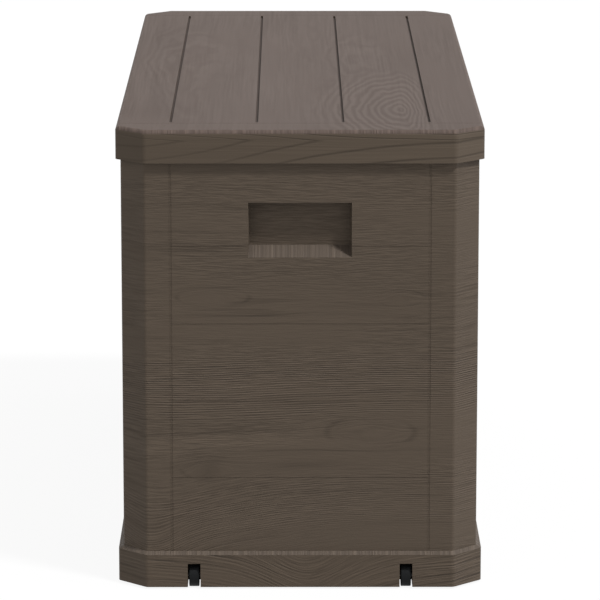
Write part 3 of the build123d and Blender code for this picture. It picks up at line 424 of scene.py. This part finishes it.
def grainPlastic(name, grain):
    material, tree, shader = newFinish(name)
    place = tree.nodes.new("ShaderNodeTexCoord").outputs
    x, y, z = splitAxes(tree, place["Object"])
    isFlat, isSide, isTilted, isEnd = faceKinds(tree, place["Normal"])

    # the grain runs along the length on top and round the walls on the sides
    sideAlong = pick(tree, isEnd, x, y)
    along = pick(tree, isFlat, sideAlong, x)
    across = pick(tree, isFlat, z, y)
    depth = pick(tree, isFlat, pick(tree, isEnd, y, x), z)
    vector = joinAxes(tree, along, across, depth)
    lineVector, level, nearEye, outline = growthLevel(tree, vector, isSide, grain)

    # fine lines come and go in patches, bold ones are cut sharper, streaks are broad and dark
    finePatch = patches(tree, vector, *embossing["finePatch"])
    fineBy, fineScale = grain["fine"]
    fine = noise(tree, lineVector, fineScale, *embossing["fineDetail"])
    fine = centred(tree, spread(tree, fine, embossing["fineCut"]))
    relief = calc(tree, "MULTIPLY", calc(tree, "MULTIPLY", fine, finePatch), fineBy)
    if "close" in grain:
        close = closeLines(tree, vector, lineVector, level, finePatch, isSide, grain)
        relief = calc(tree, "ADD", relief, close)
    boldBy, boldScale = grain["bold"]
    bold = spread(tree, noise(tree, lineVector, boldScale), embossing["boldCut"])
    boldHere = patches(tree, vector, *embossing["boldPatch"])
    boldHere = calc(tree, "MULTIPLY_ADD", nearEye, embossing["boldNearEye"], boldHere)
    bold = calc(tree, "MULTIPLY", calc(tree, "MULTIPLY", bold, boldHere), 0.5 * boldBy)
    outlineHere = patches(tree, vector, *embossing["outlinePatch"])
    bold = calc(tree, "MULTIPLY_ADD", outline, outlineHere, bold)
    relief = calc(tree, "ADD", relief, bold)
    streakBy, streakScale = grain["streak"]
    streak = spread(tree, noise(tree, lineVector, streakScale), embossing["streakCut"])
    relief = calc(tree, "MULTIPLY_ADD", streak, streakBy, relief)
    # smudges and tone patches; on the lid's rim they are painted shade and painted light
    for *spot, dark in grain.get("smudgesAndRimShade", []):
        near = nearness(tree, lineVector, spot)
        relief = calc(tree, "MULTIPLY_ADD", squared(tree, near), dark, relief)
    if "arches" in grain:
        arches = archLines(tree, vector, level, isSide, boldHere, grain["arches"])
        relief = calc(tree, "ADD", relief, arches)
    if "peaks" in grain:
        relief = calc(tree, "MULTIPLY_ADD", contourLines(tree, vector, x, y, grain), isFlat, relief)
    # tilted faces take the edge streaks, which carry painted light
    relief = pick(tree, isTilted, relief, edgeStreaksAndLight(tree, sideAlong))
    if "grooves" in grain:
        # painted shade: the bottoms of the grooves are darkened as if in shadow
        grooveShade = grooveShadeMask(tree, x, y, z, grain["grooves"])
        relief = calc(tree, "MULTIPLY_ADD", grooveShade, grain["grooves"]["dark"], relief)

    # relief and broad clouds shade the colour, and faces that look up get a painted sheen: a tint a little
    # greyer and bluer, as a sky reflection looks on them
    cloudBy, cloudScale = embossing["cloud"]
    cloud = centred(tree, noise(tree, vector, cloudScale))
    shade = calc(tree, "MULTIPLY_ADD", relief, -embossing["darkening"], embossing["level"])
    shade = calc(tree, "MULTIPLY_ADD", cloud, cloudBy, shade)
    color = multiplyColor(tree, (*grain["color"], 1.0), grey(tree, shade))
    looksUp = calc(tree, "MAXIMUM", isFlat, isTilted)
    color = multiplyColor(tree, color, (*grain["upwardSheen"], 1.0), share=looksUp)
    tree.links.new(color, shader.inputs["Base Color"])
    dullest = grain["roughness"] + embossing["dulling"]
    roughness = spread(tree, relief, embossing["dullCut"], (grain["roughness"], dullest), smooth=False)
    tree.links.new(roughness, shader.inputs["Roughness"])
    gritBy, gritScale = embossing["grit"]
    grit = noise(tree, place["Object"], gritScale, detail=2.0)
    height = calc(tree, "MULTIPLY_ADD", grit, gritBy, calc(tree, "SUBTRACT", 1.0, relief))
    addBump(tree, shader, height, embossing["depth"], embossing["bump"])
    shader.inputs["Specular IOR Level"].default_value = embossing["specular"]
    shader.inputs["IOR"].default_value = embossing["refraction"]
    return material


# dark wheel plastic and foot rubber: fine speckle and dull moulding marks
darkLooks = {
    "wheel": {
        "color": (0.0048, 0.0055, 0.0062),
        "roughness": 0.62,
        "speckle": 900.0,
        "specular": 0.15,
    },
    "foot": {
        "color": (0.024, 0.024, 0.024),
        "roughness": 0.8,
        "speckle": 500.0,
        "specular": 0.3,
    },
}
# what both share
darkMarks = {
    "cut": (0.3, 0.7),
    "speckleDetail": (3.0, 0.6),
    "speckleShade": (0.85, 1.1),
    "clouds": 60.0,
    "cloudShade": 0.5,
    "dulling": (-0.06, 0.1),
    "depth": 0.0001,
    "bump": 0.5,
}


def darkMoulding(name, look, marks):
    material, tree, shader = newFinish(name)
    vector = tree.nodes.new("ShaderNodeTexCoord").outputs["Object"]
    speckle = noise(tree, vector, (look["speckle"],) * 3, *marks["speckleDetail"])
    clouds = noise(tree, vector, (marks["clouds"],) * 3, detail=2.0)
    shade = spread(tree, speckle, marks["cut"], marks["speckleShade"])
    shade = calc(tree, "MULTIPLY_ADD", centred(tree, clouds), marks["cloudShade"], shade)
    color = multiplyColor(tree, (*look["color"], 1.0), grey(tree, shade))
    tree.links.new(color, shader.inputs["Base Color"])
    span = [look["roughness"] + change for change in marks["dulling"]]
    tree.links.new(spread(tree, clouds, marks["cut"], span), shader.inputs["Roughness"])
    addBump(tree, shader, speckle, marks["depth"], marks["bump"])
    shader.inputs["Specular IOR Level"].default_value = look["specular"]
    return material


# plated steel: drawn lines along the length and faint spangle
steelLooks = {
    "zinc": {"color": (0.42, 0.42, 0.43), "roughness": 0.36},
    "axle": {"color": (0.08, 0.08, 0.08), "roughness": 0.5},
}
# what both share
steelMarks = {
    "drawn": ((25.0, 1800.0, 1800.0), 2.0, 0.6),
    "drawnCut": (0.25, 0.75),
    "drawnShade": 0.2,
    "dulling": (-0.08, 0.12),
    "spangle": ((160.0, 160.0, 160.0), 3.0, 0.55),
    "spangleCut": (0.3, 0.7),
    "spangleShade": (0.82, 1.06),
    "depth": 0.00008,
    "bump": 0.4,
}


def platedSteel(name, look, marks):
    material, tree, shader = newFinish(name)
    vector = tree.nodes.new("ShaderNodeTexCoord").outputs["Object"]
    drawn = noise(tree, vector, *marks["drawn"])
    spangle = noise(tree, vector, *marks["spangle"])
    shade = spread(tree, spangle, marks["spangleCut"], marks["spangleShade"])
    shade = calc(tree, "MULTIPLY_ADD", centred(tree, drawn), marks["drawnShade"], shade)
    color = multiplyColor(tree, (*look["color"], 1.0), grey(tree, shade))
    tree.links.new(color, shader.inputs["Base Color"])
    span = [look["roughness"] + change for change in marks["dulling"]]
    tree.links.new(spread(tree, drawn, marks["drawnCut"], span), shader.inputs["Roughness"])
    shader.inputs["Metallic"].default_value = 1.0
    addBump(tree, shader, drawn, marks["depth"], marks["bump"])
    return material


finishes = {
    "taupe_plastic": grainPlastic("wallPlastic", woodGrain["wall"]),
    "lid_plastic": grainPlastic("lidPlastic", woodGrain["lid"]),
    "wheel_plastic": darkMoulding("wheelPlastic", darkLooks["wheel"], darkMarks),
    "foot_rubber": darkMoulding("footRubber", darkLooks["foot"], darkMarks),
    "zinc_steel": platedSteel("zincSteel", steelLooks["zinc"], steelMarks),
}
axleSteel = platedSteel("axleSteel", steelLooks["axle"], steelMarks)
ownFinish = {
    "base_tray": grainPlastic("trimPlastic", woodGrain["trim"]),
    "front_wheel_axle": axleSteel,
    "back_wheel_axle": axleSteel,
}
for subpart in frame["record"]["subparts"]:
    finish = ownFinish.get(subpart["node"], finishes[subpart["material_slot"]])
    for materialSlot in nodes[subpart["node"]].material_slots:
        materialSlot.material = finish
print("finishes given")


def seenRay(tree):
    # 1 for rays that show the surroundings: straight, mirrored or through glass
    path = tree.nodes.new("ShaderNodeLightPath")
    seen = calc(tree, "MAXIMUM", path.outputs["Is Camera Ray"], path.outputs["Is Glossy Ray"])
    return calc(tree, "MAXIMUM", seen, path.outputs["Is Transmission Ray"])


# pale floor, which the camera sees almost white with the object's shadow on it
floorLook = {
    "size": 30.0,
    "color": 0.8,  # as it is seen
    "bounce": 0.47,  # as it lights the object
    "glow": 0.92,
}


def makeFloor(look):
    bpy.ops.mesh.primitive_plane_add(size=look["size"])
    floor = bpy.context.active_object
    floor.name = "floor"
    material, tree, surface = newMaterial("paleFloor")
    seen = seenRay(tree)
    matte = tree.nodes.new("ShaderNodeBsdfDiffuse")
    tree.links.new(grey(tree, pick(tree, seen, look["bounce"], look["color"])), matte.inputs["Color"])
    glow = tree.nodes.new("ShaderNodeEmission")
    mixed = tree.nodes.new("ShaderNodeMixShader")
    tree.links.new(calc(tree, "MULTIPLY", seen, look["glow"]), mixed.inputs[0])
    tree.links.new(matte.outputs[0], mixed.inputs[1])
    tree.links.new(glow.outputs[0], mixed.inputs[2])
    tree.links.new(mixed.outputs[0], surface)
    floor.data.materials.append(material)


makeFloor(floorLook)

# studio light: even surroundings, a key from the upper right of the wheel end and a weak one from its side
studio = {
    "surroundings": 0.62,
    "lamps": {
        "key": {"from": (0.34, 0.45, 0.83), "strength": 3.0, "tint": (1.0, 1.0, 1.0), "softness": 8.0},
        "side": {"from": (0.0, 1.0, 0.15), "strength": 0.6, "tint": (0.95, 1.0, 1.12), "softness": 50.0},
    },
}


def makeLights(look):
    world = bpy.data.worlds.new("studio")
    bpy.context.scene.world = world
    world.use_nodes = True
    tree = world.node_tree
    background = tree.nodes["Background"]
    background.inputs["Color"].default_value = (1.0, 1.0, 1.0, 1.0)
    tree.links.new(pick(tree, seenRay(tree), look["surroundings"], 1.0), background.inputs["Strength"])
    for name, lamp in look["lamps"].items():
        data = bpy.data.lights.new(name, "SUN")
        data.energy = lamp["strength"]
        data.angle = math.radians(lamp["softness"])
        data.color = lamp["tint"]
        lampObject = bpy.data.objects.new(name, data)
        lampObject.rotation_euler = Vector(lamp["from"]).to_track_quat("Z", "Y").to_euler()
        bpy.context.scene.collection.objects.link(lampObject)


makeLights(studio)

# camera in front of the wheel end, looking slightly down
cameraView = {
    "place": (5.502, -0.0137, 1.4106),
    "pitch": 11.785,
    "yaw": -0.158,
    "lens": 237.7,
    "sensor": 36.0,
    "farthest": 100.0,
}


def makeCamera(look):
    data = bpy.data.cameras.new("camera")
    data.lens = look["lens"]
    data.sensor_width = look["sensor"]
    data.clip_end = look["farthest"]
    camera = bpy.data.objects.new("camera", data)
    camera.location = look["place"]
    pitch, yaw = math.radians(look["pitch"]), math.radians(look["yaw"])
    ahead = math.cos(pitch)
    forward = Vector((-ahead * math.cos(yaw), -ahead * math.sin(yaw), -math.sin(pitch)))
    camera.rotation_euler = forward.to_track_quat("-Z", "Y").to_euler()
    bpy.context.scene.collection.objects.link(camera)
    bpy.context.scene.camera = camera


makeCamera(cameraView)
bpy.context.scene.view_settings.view_transform = "Standard"
print("lights and camera placed")
